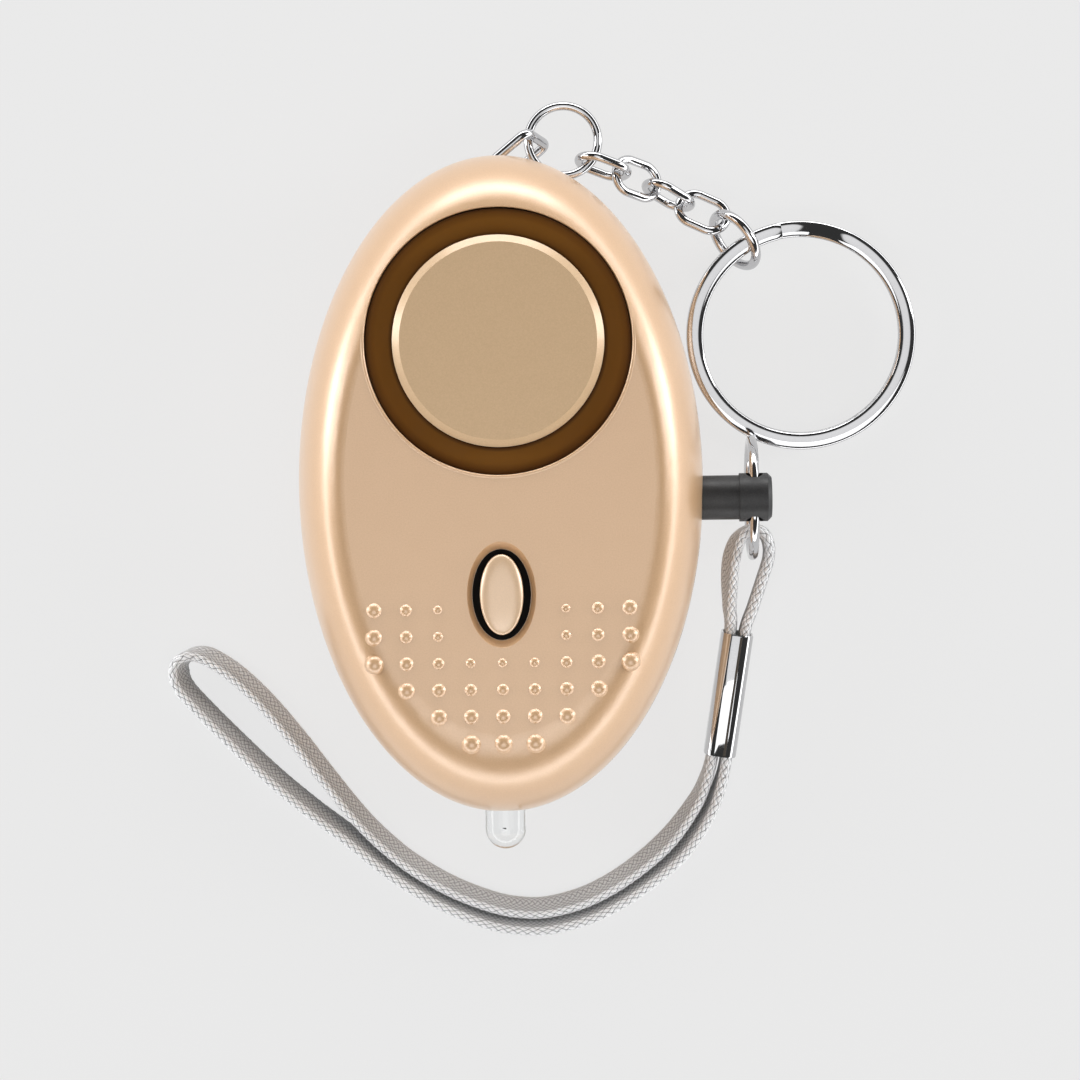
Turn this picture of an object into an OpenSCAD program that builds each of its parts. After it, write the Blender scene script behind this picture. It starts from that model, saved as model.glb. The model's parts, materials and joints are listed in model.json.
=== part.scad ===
// Personal safety alarm. An egg-shaped gold casing holds a loud siren under a round
// grille disc, a torch button above a field of grip bumps and a lamp at the tail.
// A pull pin with a wire ring carries a flat braided wrist strap, and a short chain
// at the head carries a split key ring. All sizes are in millimetres.
// The alarm lies on its back: +Z leaves the front face, +Y points to the chain end,
// +X to the pull pin, and the origin is the middle of the flat back.

/* [Casing] */
// width of the casing across the pin side
body_w = 40; // [36:0.5:46]
// length of the casing from tail to head
body_l = 65; // [60:0.5:72]
// height of the front shell above the seam
front_depth = 10; // [9:0.25:12]
// height of the rear shell below the seam
rear_depth = 12; // [11:0.25:14]
// reach of the rounded rim of the front, along the length
front_rim = 8; // [6:0.25:10]
// reach of the rounded rim of the rear, along the length
rear_rim = 20; // [17:0.25:22]
// shell wall
wall = 1.8; // [1.4:0.1:2.2]
// flattened crown cut from the rear so that it rests steadily
rear_cut = 0.3; // [0.2:0.05:0.5]

/* [Siren] */
// distance of the siren axis from the middle of the casing
siren_y = 13.7; // [13:0.1:14.5]
// diameter of the opening in the front
siren_open_d = 26.2; // [25:0.1:27]
// diameter of the centre disc
disc_d = 20.6; // [18:0.1:22]
// thickness of the centre disc
disc_t = 1.4; // [1:0.1:2]
// depth of the dark annular channel below the front face
channel_depth = 1.8; // [1.2:0.1:2.4]
// diameter of the brass sounder plate
sounder_d = 20; // [16:0.5:21]

/* [Torch button] */
// distance of the button from the middle, towards the tail
button_y = 10.9; // [10:0.1:12]
// width of the button
button_w = 4.2; // [3.6:0.1:5]
// length of the button
button_l = 7.8; // [7:0.1:9]
// gap between button and casing
button_gap = 0.45; // [0.3:0.05:0.6]
// width of the sloped dish around the button gap
dish_rim = 0.8; // [0.5:0.1:1.2]
// depth of the dish at the button gap
dish_depth = 0.65; // [0.4:0.05:0.8]
// push travel
button_travel = 0.9; // [0.6:0.1:1.1]

/* [Grip bumps] */
// pitch of the bump columns
bump_dx = 3.1; // [2.8:0.1:3.3]
// pitch of the bump rows
bump_dy = 2.6; // [2.5:0.05:2.7]
// distance of the first bump row from the middle of the button
bump_first = 1.4; // [1:0.1:1.6]
// visible diameter of the bumps nearest the button
bump_d_in = 0.85; // [0.7:0.05:1.2]
// visible diameter of the bumps nearest the rim
bump_d_out = 1.65; // [1.4:0.05:2.2]

/* [Tail lamp] */
// diameter of the clear lamp
lamp_d = 4; // [3:0.1:5]
// reach of the lamp past the casing
lamp_out = 3.7; // [3:0.1:5]

/* [Pull pin] */
// distance of the pin axis from the middle, towards the tail
pin_y = 1.7; // [0.5:0.1:3]
// diameter of the black cap
cap_d = 4.4; // [4:0.1:5]
// diameter of the band at the outer end of the cap
cap_band_d = 4.8; // [4.6:0.1:5.4]
// reach of the cap past the casing
cap_out = 6.8; // [6:0.1:8]
// diameter of the pin shaft
shaft_d = 2; // [1.6:0.1:2.4]
// outside diameter of the wire ring through the cap
pin_ring_d = 12.6; // [12:0.1:12.8]
// wire of that ring
pin_ring_wire = 1; // [0.8:0.1:1.2]
// running clearance of the pin in its socket, on the radius
pin_play = 0.06; // [0.03:0.01:0.1]

/* [Batteries] */
// diameter of a button cell
cell_d = 11.6; // [11:0.1:12]
// height of a button cell
cell_h = 5.4; // [5:0.1:5.6]

/* [Head bail and chain] */
// wire of the bail at the head
bail_wire = 1; // [0.9:0.05:1.2]
// wire of the chain links and the upper ring
link_wire = 0.9; // [0.8:0.05:1]
// outside length of a link
link_l = 6; // [5.6:0.1:6.4]
// outside width of a link
link_w = 4.4; // [4.2:0.1:4.8]
// outside diameter of the upper ring
upper_ring_d = 7.9; // [7.6:0.1:8.4]
// outside diameter of the lower ring
lower_ring_d = 7; // [6.8:0.1:7.6]
// wire of the lower ring
lower_ring_wire = 1; // [0.9:0.05:1.1]
// slack between two linked wires
hook_gap = 0.18; // [0.14:0.01:0.24]
// slack of the upper ring on the bail, and half of that of the lower ring on the split ring
end_gap = 0.3; // [0.24:0.01:0.4]

/* [Split ring] */
// outside diameter of the split ring
split_d = 23.2; // [21:0.1:25]
// radial width of its flattened wire
split_w = 1.7; // [1.5:0.1:1.9]
// thickness of its flattened wire
split_t = 0.8; // [0.7:0.05:0.9]
// gap between its two turns
split_gap = 0.46; // [0.42:0.01:0.6]

/* [Wrist strap] */
// width of the braid
strap_w = 3.2; // [3:0.05:3.3]
// thickness of the braid
strap_t = 1.3; // [1.1:0.05:1.35]
// wall of the crimped ferrule
ferrule_wall = 0.22; // [0.15:0.01:0.3]

/* [Hidden] */
$fn = 48;

gold = "#d2af8a";
gold_dark = "#5f3e18";
black = "#161616";
chrome = "#d5d7da";
brass = "#c9a24a";
board_green = "#2f6b3c";
braid = "#cfcfd2";
clear = "#e9eef0";

seam = rear_depth;
front_z = rear_depth + front_depth;
eps = 0.01;
fit = 0.15;

// siren stack, front to back
bezel_r = siren_open_d / 2 - fit;
channel_z = front_z - channel_depth;
floor_t = 1.6;
floor_z = channel_z - floor_t;
ledge_t = 1.2;
plate_t = 0.3;
ceramic_t = 0.25;
gasket_t = 1.4;
back_t = 1.1;
plate_z = floor_z - ledge_t - plate_t;
gasket_z = plate_z - gasket_t;
back_z = gasket_z - back_t;
flange_t = 1.2;
flange_z = back_z - 0.4;
flange_r = bezel_r + 0.9;
skirt_r = sounder_d / 2 + 1.7;
disc_top = front_z + 0.2;
disc_z = disc_top - disc_t;

// battery bay
cell_axis_z = 1.6 + 0.2 + cell_d / 2;
stack_y = 0.5;
stack_half = 1.5 * cell_h;
bay_x = cell_d / 2 + 0.3;
bay_lo = stack_y - stack_half - 1.6;
bay_hi = stack_y + stack_half + 1.3;
bay_wall = 1.2;
cover_a = cell_d / 2 + 2.8;
cover_b = (bay_hi - bay_lo) / 2 + 4.95;
cover_t = 1.5;
cover_y = (bay_lo + bay_hi) / 2 - 0.6;
boss_r = 2.4;
boss_h = 7;
cover_screw_y = bay_lo - boss_r - 0.5;

// board, lamp and switch
board_t = 1.2;
lead_r = 0.25;
lead_wire = 0.4;
board_z = seam + lead_r + 0.05;
board_top = board_z + board_t;
board_half = 7.8;
board_lo = -body_l / 2 + 6;
board_hi = bay_lo + 0.8;
lamp_tip = -body_l / 2 - lamp_out;
lamp_root = -body_l / 2 + 4.5;
flange_btn_t = 1;
dish_w = button_w + 2 * button_gap + 2 * dish_rim;
dish_l = button_l + 2 * button_gap + 2 * dish_rim;
dish_ledge = 0.1;
dish_slope = dish_rim - dish_ledge;
button_seat = front_z - wall - 0.05;
button_foot = button_seat - flange_btn_t;
switch_top = button_foot - button_travel - 0.3;
stem_r = 1.2;
coil_r = 3.4;
coil_h = 6.6;
coil_neck = 1.7;
coil_rim = 1;
coil_gap = 1;
coil_y = cover_screw_y - boss_r - coil_gap - coil_r;
can_r = 1.9;
can_h = 4.4;
chip_r = [1.6, 0.8, 0.5];

// pull pin
edge_x = body_w / 2;
cap_in = 1.1;
cap_end = edge_x + cap_out;
pin_ring_x = cap_end - 1.7;
pin_ring_r = (pin_ring_d - pin_ring_wire) / 2;
pin_ring_top = seam + 0.8;
pin_ring_z = pin_ring_top - pin_ring_r;
eye_hole_d = pin_ring_wire + 0.2 + pin_ring_r - sqrt(pow(pin_ring_r, 2) - pow(cap_band_d / 2, 2));
socket_in = edge_x - 7.8;
socket_out = edge_x - 2.8;
socket_half = 3;
socket_step = 1.4;
blade_l = 3.2;
blade_tip = edge_x - 10.6;
blade_root = blade_tip + blade_l;
blade_t = 0.6;
contact_gap = 0.15;
leaf_t = 0.3;
leaf_w = 2.4;
leaf_eye = 0.55;
leaf_post = 0.3;
leaf_x = socket_in - 0.6;
leaf_y = -pin_y - blade_t / 2 - contact_gap - leaf_eye;

// screws: place and outer ends
case_screw_at = [[-body_w / 2 + 6.4, 2], [10.5, -17], [-10.5, -17]];
board_screw_at = [[6, board_lo + 2.1], [-6, board_lo + 12.9]];
post_at = [[6, board_lo + 2.1], [-6, board_lo + 2.1], [6, board_lo + 12.9], [-6, board_lo + 12.9]];
siren_post_at = [[9.5, 8.8], [-9.5, 8.8], [12.1, -5.2], [-12.1, -5.2]];
screw_head_z = 6.5;
board_head = 0.8;
board_shank = 0.6;
board_bite = 3.6;
board_head_r = 1.3;
cover_head = 0.9;
cover_head_r = 1.6;
cover_shank = 0.8;
cover_bite = 5;
case_head = 1.5;
case_head_r = 1.9;
case_shank = 1;
case_bite = 4.5;
slot_w = 0.4;

// head bail: the two corners of the staple and the run of its legs
bail_l = [3, body_l / 2 + 2.5, rear_depth - 2];
bail_r = [5, body_l / 2 + 1.5, rear_depth - 5.4];
bail_leg = 9;
bail_run = [0.77, 0.64, 0] / norm([0.77, 0.64, 0]);

// chain: each entry is the heading, the slope and the roll of one ring or link
lie_upper = [0, 0, 0];
lie_1 = [-20, -18, 70];
lie_2 = [-18, -30, -20];
lie_3 = [-30, -25, 70];
lie_4 = [-25, 4, -25];
lie_lower = [-50, 8, 64];
lie_split = [-55, -4, 4];
upper_exit = -45;
lower_exit = -30;
bail_share = 0.7;

function along(lie) = [cos(lie.x) * cos(lie.y), sin(lie.x) * cos(lie.y), sin(lie.y)];
function across(lie) =
    let (s = [-sin(lie.x), cos(lie.x), 0])
    cos(lie.z) * s + sin(lie.z) * cross(along(lie), s);
function toward(lie, turn) = along(lie) * cos(turn) + across(lie) * sin(turn);

upper_r = (upper_ring_d - link_wire) / 2;
lower_r = (lower_ring_d - lower_ring_wire) / 2;
split_r = (split_d - split_w) / 2;
link_a = (link_l - link_wire) / 2;
bail_hook = bail_l + bail_share * (bail_r - bail_l);
upper_at = bail_hook + along(lie_upper) * (upper_r - (bail_wire + link_wire) / 2 - end_gap);
hook_1 = upper_at + toward(lie_upper, upper_exit) * (upper_r - link_wire - hook_gap);
link_1_at = hook_1 + along(lie_1) * link_a;
hook_2 = link_1_at + along(lie_1) * (link_a - link_wire - hook_gap);
link_2_at = hook_2 + along(lie_2) * link_a;
hook_3 = link_2_at + along(lie_2) * (link_a - link_wire - hook_gap);
link_3_at = hook_3 + along(lie_3) * link_a;
hook_4 = link_3_at + along(lie_3) * (link_a - link_wire - hook_gap);
link_4_at = hook_4 + along(lie_4) * link_a;
hook_5 = link_4_at + along(lie_4) * (link_a - (link_wire + lower_ring_wire) / 2 - hook_gap);
lower_at = hook_5 + along(lie_lower) * lower_r;
hook_6 = lower_at + toward(lie_lower, lower_exit)
    * (lower_r - lower_ring_wire / 2 - split_w / 2 - 2 * end_gap);
split_at = hook_6 + along(lie_split) * split_r;

// strap: x, y, z and lean of the braid, from the ferrule round the small eye at the
// pin ring, back through the ferrule, round the wrist loop and up into the ferrule
route_eye = [25.1, -1.7];
strap_move = [pin_ring_x - route_eye.x, -pin_y - route_eye.y, 0];
ferrule_low = [21.7, -27.6, 2.2];
ferrule_high = [23.6, -15.3, 3.8];
route = [
    [22, -21, 3.1, 0], [22.9, -15.2, 3.8, 0], [22.8, -12.6, 4.8, 8], [22.8, -10, 5.8, 18],
    [23, -7.8, 6.6, 20], [23.5, -6.2, 6.9, 16], [24.2, -5.3, 7, 8], [25.2, -4.9, 7, 0],
    [26.2, -5.3, 7, 0], [26.7, -6.3, 6.9, 0], [26.7, -7.8, 6.6, 0], [26.1, -9.8, 5.9, 0],
    [25.2, -12.6, 4.8, 0], [24.3, -15.4, 3.8, 0],
    [23.3, -21.5, 3, 0], [22.4, -27.7, 2.2, 0],
    [21.7, -30.6, 2, 10], [20.4, -33.6, 1.9, 20], [17.6, -37.4, 1.9, 30], [13.2, -41, 1.9, 30],
    [8.8, -43.4, 1.9, 30], [4.4, -44.6, 1.9, 30], [1, -44.6, 1.9, 30], [-2, -44, 1.9, 30],
    [-6, -42.4, 1.9, 30], [-10, -40.1, 1.9, 30], [-13, -37.9, 1.9, 30], [-16, -35.4, 1.9, 30],
    [-19.8, -32.5, 1.9, 30], [-23.9, -29, 1.9, 30], [-28.2, -24.8, 1.9, 30],
    [-31, -21.9, 1.9, 30], [-32.4, -20.3, 1.9, 30], [-33, -19, 1.9, 30], [-32.9, -17.7, 1.9, 30],
    [-32, -16.9, 1.9, 30], [-30.8, -16.8, 1.9, 30], [-29.5, -17.3, 1.9, 30],
    [-27.2, -18.9, 1.9, 30], [-24.4, -21.6, 1.9, 30], [-21.2, -25.4, 1.9, 30],
    [-18, -29.6, 1.9, 30], [-14.8, -33.6, 1.9, 30], [-12, -36.4, 1.9, 30],
    [-9.2, -38.6, 1.9, 30], [-5.4, -40.8, 1.9, 30], [-1.6, -42.3, 1.9, 30],
    [1.2, -42.9, 1.9, 30], [4.2, -42.9, 1.9, 30], [8.2, -41.8, 1.9, 30],
    [12.2, -39.6, 1.9, 30], [16.2, -36.3, 1.9, 30], [19, -32.7, 1.9, 20],
    [20.2, -30.3, 2, 10], [21, -27.5, 2.2, 0], [22, -21.8, 2.9, 0]
];

// tubes swept through rings of points
function unit(v) = v / norm(v);
function heading_at(p, i) = unit(p[min(i + 1, len(p) - 1)] - p[max(i - 1, 0)]);
function soft_corner(a) = sign(a) * pow(abs(a), 0.7);
function oval_ring(c, thin, wide, half_t, half_w, sides) = [
    for (k = [0 : sides - 1])
        let (a = 360 * (k + 0.5) / sides)
        c + thin * half_t * soft_corner(cos(a)) / soft_corner(cos(180 / sides))
          + wide * half_w * soft_corner(sin(a)) / soft_corner(cos(180 / sides))
];
function strap_ring(i, p) =
    let (
        t = heading_at(p, i),
        flat = unit([p[i].x, p[i].y, 0]),
        up = [0, 0, 1] + tan(route[i][3]) * flat,
        wide = unit(up - (up * t) * t),
        thin = cross(t, wide)
    )
    oval_ring(p[i], thin, wide, strap_t / 2, strap_w / 2, 8);

module tube(rings) {
    n = len(rings[0]);
    last = len(rings) - 1;
    polyhedron(
        points = [for (r = rings) each r],
        faces = [
            [for (k = [n - 1 : -1 : 0]) k],
            for (i = [0 : last - 1]) for (k = [0 : n - 1])
                each [
                    [i * n + k, i * n + (k + 1) % n, (i + 1) * n + k],
                    [i * n + (k + 1) % n, (i + 1) * n + (k + 1) % n, (i + 1) * n + k]
                ],
            [for (k = [0 : n - 1]) last * n + k]
        ],
        convexity = 8
    );
}

// one half of the casing: a flat crown with a rounded rim, scaled to an ellipse;
// inset shrinks it on every side, so that a wall or a half wall is left around it
module pebble(depth, rim, inset) {
    w = body_w - 2 * inset;
    l = body_l - 2 * inset;
    r = rim - inset;
    for (quarter = [0 : 90 : 270])
        scale([w / l, 1, (depth - inset) / r])
            rotate([0, 0, quarter])
                rotate_extrude(angle = 90, $fn = 180) {
                    square([l / 2 - r, r]);
                    translate([l / 2 - r, 0])
                        intersection() {
                            circle(r, $fn = 160);
                            square(r);
                        }
                }
}

module front_half(inset) {
    translate([0, 0, seam])
        pebble(front_depth, front_rim, inset);
}

module rear_half(inset) {
    translate([0, 0, seam])
        mirror([0, 0, 1])
            pebble(rear_depth + rear_cut, rear_rim, inset);
}

module oval(w, l) {
    scale([w / l, 1])
        circle(d = l, $fn = 96);
}

module disc(r, z, t) {
    translate([0, 0, z])
        cylinder(r = r, h = t, $fn = 96);
}

module rod(p, q, r) {
    v = q - p;
    translate(p)
        rotate([0, acos(v.z / norm(v)), atan2(v.y, v.x)])
            cylinder(r = r, h = norm(v), $fn = 24);
}

module x_rod(x0, x1, y, z, r) {
    translate([x0, y, z])
        rotate([0, 90, 0])
            cylinder(r = r, h = x1 - x0);
}

module y_rod(y0, y1, x, z, r) {
    translate([x, y0, z])
        rotate([-90, 0, 0])
            cylinder(r = r, h = y1 - y0);
}

module siren_axis() {
    translate([0, siren_y, 0])
        children();
}

// sockets for the pin and the lamp, shared by both shells
module side_openings() {
    x_rod(socket_out, edge_x + 5, -pin_y, seam, shaft_d / 2 + 0.3);
    x_rod(edge_x - cap_in - 0.2, edge_x + 5, -pin_y, seam, cap_d / 2 + 0.2);
    y_rod(-body_l / 2 - 5, -body_l / 2 + 3, 0, seam, lamp_d / 2 + 0.1);
}

bump_columns = [[2, 3, 4], [2, 3, 4], [0, 1, 2, 3, 4], [0, 1, 2, 3], [0, 1, 2], [0, 1]];
bump_round = 1.25;
bump_near = norm([2 * bump_dx, bump_first]);
bump_far = bump_first + 5 * bump_dy;
function bump_r(x, y) =
    let (share = (norm([x, y + button_y]) - bump_near) / (bump_far - bump_near))
    (bump_d_in + (bump_d_out - bump_d_in) * max(0, min(1, share))) / 2;

// bumps are caps of balls, cut off inside the wall
module grip_bumps() {
    intersection() {
        translate([-body_w / 2, -body_l / 2, front_z - wall / 2])
            cube([body_w, body_l / 2, wall]);
        for (row = [0 : 5])
            for (col = bump_columns[row])
                for (side = (col == 0) ? [1] : [-1, 1]) {
                    x = side * col * bump_dx;
                    y = -button_y - bump_first - row * bump_dy;
                    r = bump_r(x, y);
                    ball = bump_round * r;
                    translate([x, y, front_z - sqrt(ball * ball - r * r)])
                        sphere(ball, $fn = 32);
                }
    }
}

module front_shell() {
    color(gold)
        difference() {
            union() {
                difference() {
                    front_half(0);
                    translate([0, 0, -eps])
                        front_half(wall);
                }
                // collar around the siren and screw bosses, rooted in the wall
                intersection() {
                    union() {
                        siren_axis()
                            disc(siren_open_d / 2 + 1, flange_z + flange_t, front_depth);
                        for (p = case_screw_at)
                            translate([p.x, p.y, seam])
                                cylinder(r = boss_r, h = front_depth);
                    }
                    translate([0, 0, -eps])
                        front_half(wall / 2);
                }
                grip_bumps();
            }
            siren_axis()
                disc(siren_open_d / 2, seam - 1, front_depth + 5);
            for (p = case_screw_at)
                translate([p.x, p.y, seam - 1])
                    cylinder(r = 1.02, h = 6);
            // button opening and its sunken dish
            translate([0, -button_y, seam])
                linear_extrude(front_depth + 2)
                    oval(button_w + 2 * button_gap, button_l + 2 * button_gap);
            translate([0, -button_y, front_z - dish_depth])
                scale([dish_w / dish_l, 1, 1])
                    cylinder(r1 = dish_l / 2 - dish_slope, r2 = dish_l / 2 + dish_slope,
                        h = 2 * dish_depth, $fn = 96);
            side_openings();
        }
}

module rear_shell() {
    color(gold)
        difference() {
            union() {
                difference() {
                    rear_half(0);
                    translate([0, 0, eps])
                        rear_half(wall);
                }
                // bay, bosses, posts and blocks, rooted in the wall
                intersection() {
                    union() {
                        translate([-bay_x - bay_wall, bay_lo - bay_wall, 0])
                            cube([2 * (bay_x + bay_wall), bay_hi - bay_lo + 2 * bay_wall, rear_depth]);
                        translate([0, cover_screw_y, 0])
                            cylinder(r = boss_r, h = boss_h);
                        for (p = case_screw_at)
                            translate([p.x, p.y, 0])
                                cylinder(r = 2.7, h = rear_depth);
                        for (p = post_at)
                            translate([p.x, p.y, 0])
                                cylinder(r = 1.5, h = rear_depth - 0.5);
                        for (p = siren_post_at)
                            translate([p.x, siren_y + p.y, 0])
                                cylinder(r = 1.6, h = rear_depth - 0.5);
                        translate([-7, body_l / 2 - 7, rear_depth - 7.5])
                            cube([10, 6, 7]);
                        translate([socket_in - socket_step, -pin_y - socket_half, 0])
                            cube([socket_out - socket_in + socket_step, 2 * socket_half,
                                seam - socket_half - 0.2]);
                    }
                    rear_half(wall / 2);
                }
                for (p = post_at)
                    translate([p.x, p.y, rear_depth - 1])
                        cylinder(r = 1.2, h = board_z - rear_depth + 1);
                for (p = siren_post_at)
                    translate([p.x, siren_y + p.y, rear_depth - 1])
                        cylinder(r = 1.2, h = flange_z - rear_depth + 1);
            }
            // flat back
            translate([-body_w, -body_l, -2])
                cube([2 * body_w, 2 * body_l, 2]);
            // cells and cover
            translate([-bay_x, bay_lo, 1])
                cube([2 * bay_x, bay_hi - bay_lo, rear_depth]);
            translate([0, cover_y, -1])
                linear_extrude(1 + cover_t + 0.1)
                    oval(2 * (cover_a + fit), 2 * (cover_b + fit));
            translate([0, cover_screw_y, -1])
                cylinder(r = 0.82, h = 7.5);
            for (p = case_screw_at)
                translate([p.x, p.y, -1]) {
                    cylinder(r = 2.1, h = screw_head_z + 1);
                    cylinder(r = 1.2, h = rear_depth + 5);
                }
            for (p = board_screw_at)
                translate([p.x, p.y, board_z - 4.5])
                    cylinder(r = board_shank + 0.02, h = 6);
            for (top = [bail_l, bail_r])
                rod(top - bail_run * (bail_leg + 0.1), top, bail_wire / 2 + 0.02);
            side_openings();
        }
}

module siren_bezel() {
    color(gold_dark)
        siren_axis()
            difference() {
                union() {
                    disc(bezel_r, flange_z, channel_z - flange_z);
                    disc(flange_r, flange_z, flange_t);
                }
                disc(skirt_r, flange_z - 1, plate_z + plate_t - flange_z + 1);
                disc(sounder_d / 2 - 0.8, flange_z - 1, floor_z - flange_z + 1);
                disc(1.55, floor_z - 1, floor_t + 2);
                // sound ports, under the edge of the disc
                for (a = [0 : 22.5 : 337.5])
                    rotate(a)
                        translate([disc_d / 2 - 2.3, 0, floor_z - 1])
                            cylinder(r = 0.8, h = floor_t + 2, $fn = 24);
            }
}

module siren_disc() {
    color(gold)
        siren_axis()
            union() {
                rotate_extrude($fn = 96)
                    polygon([
                        [0, disc_z], [disc_d / 2 - 0.3, disc_z], [disc_d / 2, disc_z + 0.3],
                        [disc_d / 2, disc_top - 0.5], [disc_d / 2 - 0.7, disc_top], [0, disc_top]
                    ]);
                disc(5, channel_z, disc_z - channel_z + 0.2);
                disc(1.5, floor_z, channel_z - floor_z + 0.2);
            }
}

module sounder_plate() {
    color(brass)
        siren_axis()
            disc(sounder_d / 2 + 1.5, plate_z, plate_t);
}

module sounder_ceramic() {
    color("#e8e4da")
        siren_axis()
            disc(sounder_d / 2 - 3, plate_z - ceramic_t, ceramic_t);
}

module sounder_gasket() {
    color(black)
        siren_axis()
            difference() {
                disc(sounder_d / 2 + 1.5, gasket_z, gasket_t);
                disc(sounder_d / 2 - 1, gasket_z - 1, gasket_t + 2);
            }
}

module siren_back() {
    color("#3a3a3a")
        siren_axis()
            difference() {
                disc(sounder_d / 2 + 1.5, back_z, back_t);
                disc(2.6, back_z - 1, back_t + 2);
            }
}

module torch_button() {
    r = button_l / 2;
    color(gold)
        translate([0, -button_y, 0])
            for (quarter = [0 : 90 : 270])
                scale([button_w / button_l, 1, 1])
                    rotate([0, 0, quarter])
                        rotate_extrude(angle = 90, $fn = 96)
                            polygon([
                                [0, button_foot], [r + 2, button_foot], [r + 2, button_seat],
                                [r, button_seat], [r, front_z + 0.1], [r - 0.35, front_z + 0.35],
                                [r - 1, front_z + 0.5], [0, front_z + 0.6]
                            ]);
}

module push_switch() {
    color("#4a4a4a")
        difference() {
            translate([-2.25, -button_y - 2.25, board_top])
                cube([4.5, 4.5, switch_top - board_top]);
            // well in which the stem travels
            translate([0, -button_y, switch_top - button_travel - 0.6])
                cylinder(r = stem_r + 0.06, h = button_travel + 1);
        }
}

module switch_stem() {
    color("#e8e8e8")
        translate([0, -button_y, switch_top - 0.3])
            cylinder(r = stem_r, h = button_foot - switch_top + 0.3);
}

module circuit_board() {
    color(board_green)
        difference() {
            translate([-board_half, board_lo, board_z])
                cube([2 * board_half, board_hi - board_lo, board_t]);
            for (p = board_screw_at)
                translate([p.x, p.y, board_z - 1])
                    cylinder(r = board_shank + 0.15, h = board_t + 2);
            for (side = [-1, 1])
                translate([side * (board_half + 0.6), board_lo - 0.6, board_z - 1])
                    rotate(45)
                        translate([-2, -2, 0])
                            cube([4, 4, board_t + 2]);
        }
}

module coil_core() {
    color("#2b2b2e")
        translate([0, coil_y, board_z - coil_h])
            union() {
                cylinder(r = coil_r, h = coil_rim);
                cylinder(r = coil_neck, h = coil_h);
                translate([0, 0, coil_h - coil_rim])
                    cylinder(r = coil_r, h = coil_rim);
            }
}

module coil_winding() {
    color("#b0622a")
        translate([0, coil_y, board_z - coil_h + coil_rim + 0.02])
            difference() {
                cylinder(r = coil_r - 0.4, h = coil_h - 2 * coil_rim - 0.04);
                translate([0, 0, -1])
                    cylinder(r = coil_neck + 0.02, h = coil_h + 2);
            }
}

module driver_chip() {
    color("#202022")
        translate([-2, board_lo + 4.6, board_top])
            union() {
                translate([0, 0, 0.15])
                    cube([4, 5, 1.4]);
                for (row = [0 : 3])
                    for (side = [-0.9, 3.9])
                        translate([side, 0.4 + row * 1.27, 0])
                            cube([1, 0.4, 0.5]);
            }
}

module transistor() {
    color("#202022")
        translate([5.2, board_lo + 10.2, board_top])
            difference() {
                cylinder(r = 2.2, h = 3.6);
                translate([-3, -4.2, -1])
                    cube([6, 3, 6]);
            }
}

module capacitor() {
    color("#27406e")
        translate([-5.2, board_lo + 7.2, board_top])
            cylinder(r = can_r, h = can_h);
}

module chip_resistors() {
    color("#2c2c30")
        for (p = [[-3.6, 11.4], [3.6, 13.6], [6.2, 6.2]])
            translate([p.x - chip_r.x / 2, board_lo + p.y - chip_r.y / 2, board_top])
                cube(chip_r);
}

module tail_lamp() {
    color(clear)
        union() {
            y_rod(lamp_tip + lamp_d / 2, lamp_root, 0, seam, lamp_d / 2);
            y_rod(-body_l / 2 + 3.5, lamp_root, 0, seam, lamp_d / 2 + 0.4);
            translate([0, lamp_tip + lamp_d / 2, seam])
                sphere(lamp_d / 2);
        }
}

module lamp_leads() {
    color(chrome)
        for (side = [-1.27, 1.27]) {
            y_rod(lamp_root, board_lo + 1.4, side, seam, lead_r);
            translate([side, board_lo + 1.2, seam])
                cylinder(r = lead_r, h = board_z - seam, $fn = 24);
        }
}

module cell(i) {
    color(chrome)
        union() {
            y_rod(stack_y - stack_half + i * cell_h + 0.6, stack_y - stack_half + (i + 1) * cell_h,
                0, cell_axis_z, cell_d / 2);
            y_rod(stack_y - stack_half + i * cell_h, stack_y - stack_half + i * cell_h + 0.6,
                0, cell_axis_z, cell_d / 2 - 1.1);
        }
}

module cell_1() { cell(0); }
module cell_2() { cell(1); }
module cell_3() { cell(2); }

module contact_strip(wall_y, cell_y) {
    t = (cell_y > wall_y) ? 0.35 : -0.35;
    translate([-2, 0, 0])
        rotate([90, 0, 90])
            linear_extrude(4)
                polygon([
                    [wall_y, cell_axis_z - 4], [wall_y + t, cell_axis_z - 4],
                    [wall_y + t, cell_axis_z - 1.6], [cell_y, cell_axis_z], [wall_y + t, cell_axis_z + 1.6],
                    [wall_y + t, seam - 0.4], [wall_y, seam - 0.4], [wall_y, cell_axis_z + 1.9],
                    [cell_y - t, cell_axis_z], [wall_y, cell_axis_z - 1.9]
                ]);
}

module contact_plus() {
    color(brass)
        contact_strip(bay_hi, stack_y + stack_half);
}

module contact_minus() {
    color(brass)
        contact_strip(bay_lo, stack_y - stack_half);
}

module battery_cover() {
    color(gold)
        difference() {
            translate([0, cover_y, 0])
                linear_extrude(cover_t)
                    oval(2 * cover_a, 2 * cover_b);
            translate([0, cover_screw_y, -1])
                cylinder(r = 1.75, h = 2);
            translate([0, cover_screw_y, -1])
                cylinder(r = 0.95, h = 4);
        }
}

module screw(head_r, head_h, shank_r, shank_l) {
    difference() {
        union() {
            cylinder(r = head_r, h = head_h);
            cylinder(r = shank_r, h = head_h + shank_l);
        }
        for (a = [0, 90])
            rotate(a)
                translate([-head_r * 0.7, -slot_w / 2, -1])
                    cube([head_r * 1.4, slot_w, 1 + slot_w]);
    }
}

module cover_screw() {
    color(chrome)
        translate([0, cover_screw_y, 0.1])
            screw(cover_head_r, cover_head, cover_shank, cover_bite);
}

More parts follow.
